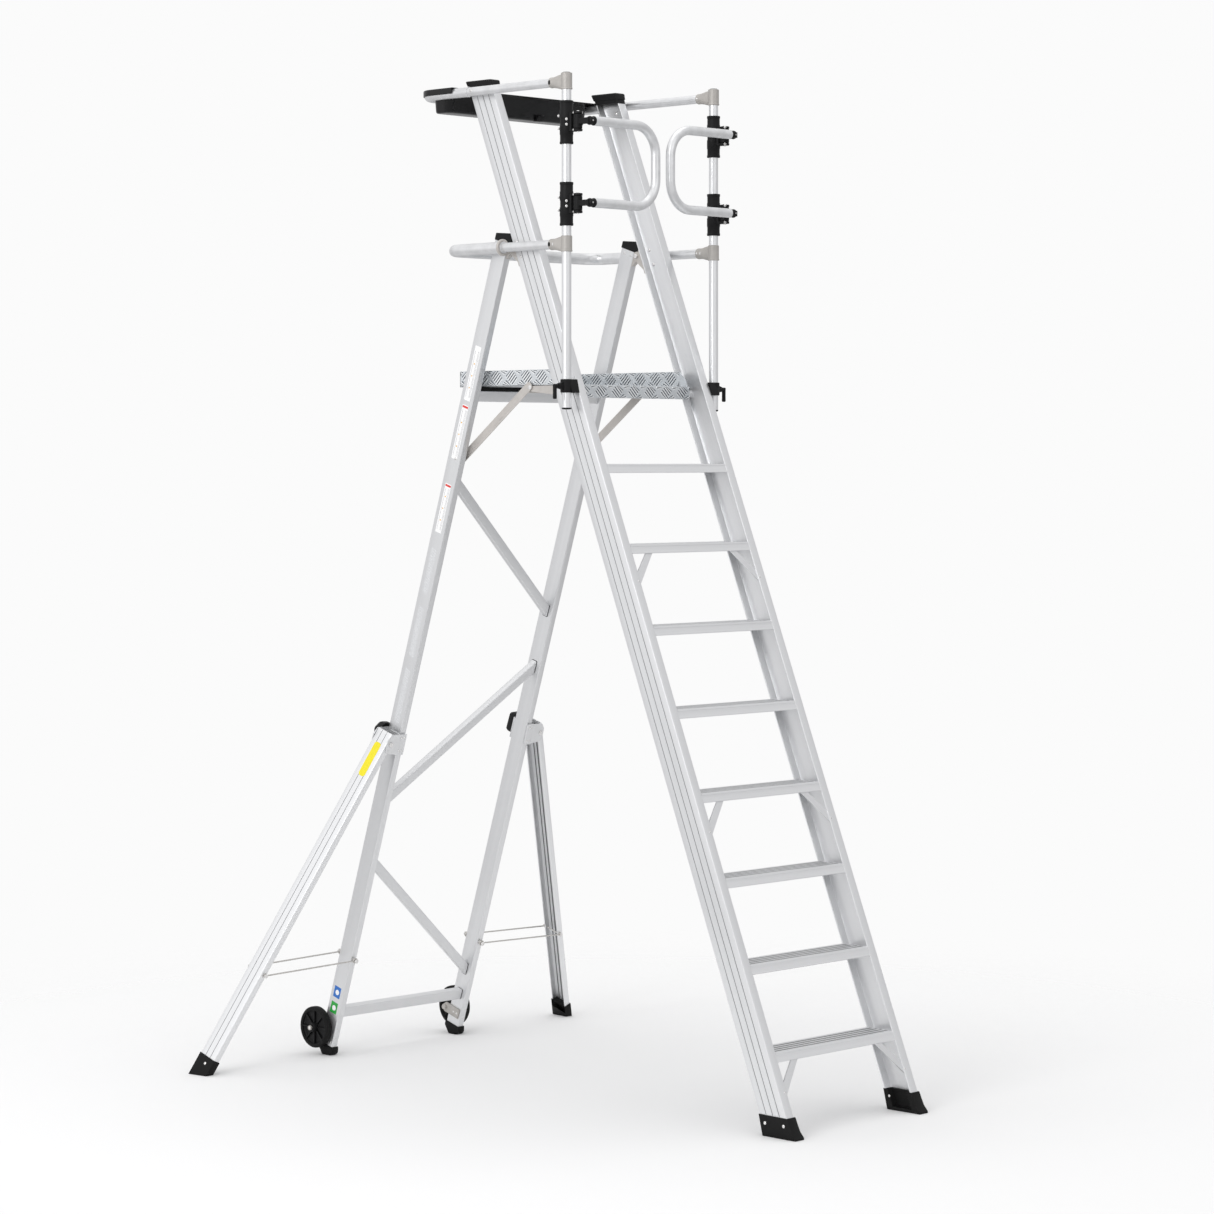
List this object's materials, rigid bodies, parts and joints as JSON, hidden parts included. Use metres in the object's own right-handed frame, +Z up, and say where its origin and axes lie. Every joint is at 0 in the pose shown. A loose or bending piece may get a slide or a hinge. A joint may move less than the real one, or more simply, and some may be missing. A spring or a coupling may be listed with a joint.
{
  "type": "mobile platform ladder",
  "caption": "Mobile platform ladder: channel stiles with ribbed treads, folding checker-plate platform with gated guardrail, hinged rear frame with wheels and swing-up stabilisers.",
  "frame": {"origin": "on the floor, at the middle of the footprint", "axes": "+X to the climber's right, +Y from the climbing side to the wheeled rear side, +Z up"},
  "size_m": [1.711, 2.204, 3.228],
  "materials": {
    "aluminium": "satin",
    "steel": "satin",
    "checker_plate": "bright",
    "black_plastic": "matt",
    "rubber": "matt"
  },
  "bodies": {
    "front_frame": {"stile_l": "aluminium", "stile_r": "aluminium", "stile_cap_l": "black_plastic", "stile_cap_r": "black_plastic", "front_foot_l": "rubber", "front_foot_r": "rubber", "tread_1": "aluminium", "tread_2": "aluminium", "tread_3": "aluminium", "tread_4": "aluminium", "tread_5": "aluminium", "tread_6": "aluminium", "tread_7": "aluminium", "tread_8": "aluminium", "top_hinge_l": "steel", "top_hinge_r": "steel", "guard_post_l": "aluminium", "guard_post_r": "aluminium", "post_clamp_l": "black_plastic", "post_clamp_r": "black_plastic", "upper_rail": "aluminium", "mid_rail": "aluminium", "upper_fitting_l": "steel", "upper_fitting_r": "steel", "mid_fitting_l": "steel", "mid_fitting_r": "steel", "tool_tray": "black_plastic", "gate_sleeve_low_l": "black_plastic", "gate_sleeve_low_r": "black_plastic", "gate_sleeve_high_l": "black_plastic", "gate_sleeve_high_r": "black_plastic"},
    "rear_frame": {"rear_leg_l": "aluminium", "rear_leg_r": "aluminium", "rear_foot_l": "rubber", "rear_foot_r": "rubber", "deck_rest_bar": "aluminium", "deck_rest_pad": "rubber", "bottom_bar": "aluminium", "diagonal_1": "aluminium", "diagonal_2": "aluminium", "diagonal_3": "aluminium", "wheel_bracket_l": "steel", "wheel_bracket_r": "steel", "stabiliser_bracket_l": "steel", "stabiliser_bracket_r": "steel"},
    "platform": {"platform": "checker_plate"},
    "strut_l": {"strut_l": "steel"},
    "wheel_l": {"wheel_l": "rubber"},
    "stabiliser_l": {"stabiliser_l": "aluminium", "stabiliser_foot_l": "rubber"},
    "stay_l": {"stay_l": "steel"},
    "gate_l": {"gate_l": "aluminium"},
    "clamp_handle_l": {"clamp_handle_l": "black_plastic"},
    "strut_r": {"strut_r": "steel"},
    "wheel_r": {"wheel_r": "rubber"},
    "stabiliser_r": {"stabiliser_r": "aluminium", "stabiliser_foot_r": "rubber"},
    "stay_r": {"stay_r": "steel"},
    "gate_r": {"gate_r": "aluminium"},
    "clamp_handle_r": {"clamp_handle_r": "black_plastic"}
  },
  "joints": [
    {"name": "rear_fold", "type": "hinge", "parent": "front_frame", "child": "rear_frame", "pos_m": [0, 0.1055, 2.681], "axis": [1, 0, 0], "range_deg": [-38, 0]},
    {"name": "platform_tilt", "type": "hinge", "parent": "front_frame", "child": "platform", "pos_m": [0, -0.1135, 2.222], "axis": [1, 0, 0], "range_deg": [0, 59.8]},
    {"name": "strut_l_swing", "type": "hinge", "parent": "rear_frame", "child": "strut_l", "pos_m": [-0.2706, 0.3619, 2.01], "axis": [1, 0, 0], "range_deg": [-25.2, 0]},
    {"name": "strut_r_swing", "type": "hinge", "parent": "rear_frame", "child": "strut_r", "pos_m": [0.2706, 0.3619, 2.01], "axis": [1, 0, 0], "range_deg": [-25.2, 0]},
    {"name": "wheel_l_spin", "type": "hinge", "parent": "rear_frame", "child": "wheel_l", "pos_m": [-0.3205, 1.0325, 0.092], "axis": [1, 0, 0], "continuous": true},
    {"name": "wheel_r_spin", "type": "hinge", "parent": "rear_frame", "child": "wheel_r", "pos_m": [0.3205, 1.0325, 0.092], "axis": [1, 0, 0], "continuous": true},
    {"name": "stabiliser_l_swing", "type": "hinge", "parent": "rear_frame", "child": "stabiliser_l", "pos_m": [-0.345, 0.66651, 1.08098], "axis": [0, 0.9527, 0.304], "range_deg": [0, 150]},
    {"name": "stabiliser_r_swing", "type": "hinge", "parent": "rear_frame", "child": "stabiliser_r", "pos_m": [0.345, 0.66651, 1.08098], "axis": [0, -0.9527, -0.304], "range_deg": [0, 150]},
    {"name": "stay_l_fold", "type": "hinge", "parent": "stabiliser_l", "child": "stay_l", "pos_m": [-0.6809, 0.90556, 0.33195], "axis": [0, -0.9527, -0.304], "range_deg": [0, 64]},
    {"name": "stay_r_fold", "type": "hinge", "parent": "stabiliser_r", "child": "stay_r", "pos_m": [0.6809, 0.90556, 0.33195], "axis": [0, 0.9527, 0.304], "range_deg": [0, 64]},
    {"name": "gate_l_swing", "type": "hinge", "parent": "front_frame", "child": "gate_l", "pos_m": [-0.34, -0.2315, 2.9335], "axis": [0, 0, 1], "range_deg": [0, 78], "stiffness_Nm_per_rad": 0.6, "springref_deg": -20.05},
    {"name": "gate_r_swing", "type": "hinge", "parent": "front_frame", "child": "gate_r", "pos_m": [0.34, -0.2315, 2.9335], "axis": [0, 0, -1], "range_deg": [0, 78], "stiffness_Nm_per_rad": 0.6, "springref_deg": -20.05},
    {"name": "clamp_handle_l_turn", "type": "hinge", "parent": "front_frame", "child": "clamp_handle_l", "pos_m": [-0.38, -0.1805, 2.237], "axis": [1, 0, 0], "range_deg": [0, 180]},
    {"name": "clamp_handle_r_turn", "type": "hinge", "parent": "front_frame", "child": "clamp_handle_r", "pos_m": [0.38, -0.1805, 2.237], "axis": [1, 0, 0], "range_deg": [0, 180]}
  ],
  "couplings": [
    {"joint": "platform_tilt", "follows": "rear_fold", "ratio": -1.5729},
    {"joint": "strut_l_swing", "follows": "rear_fold", "ratio": 0.6613},
    {"joint": "strut_r_swing", "follows": "rear_fold", "ratio": 0.6613}
  ]
}
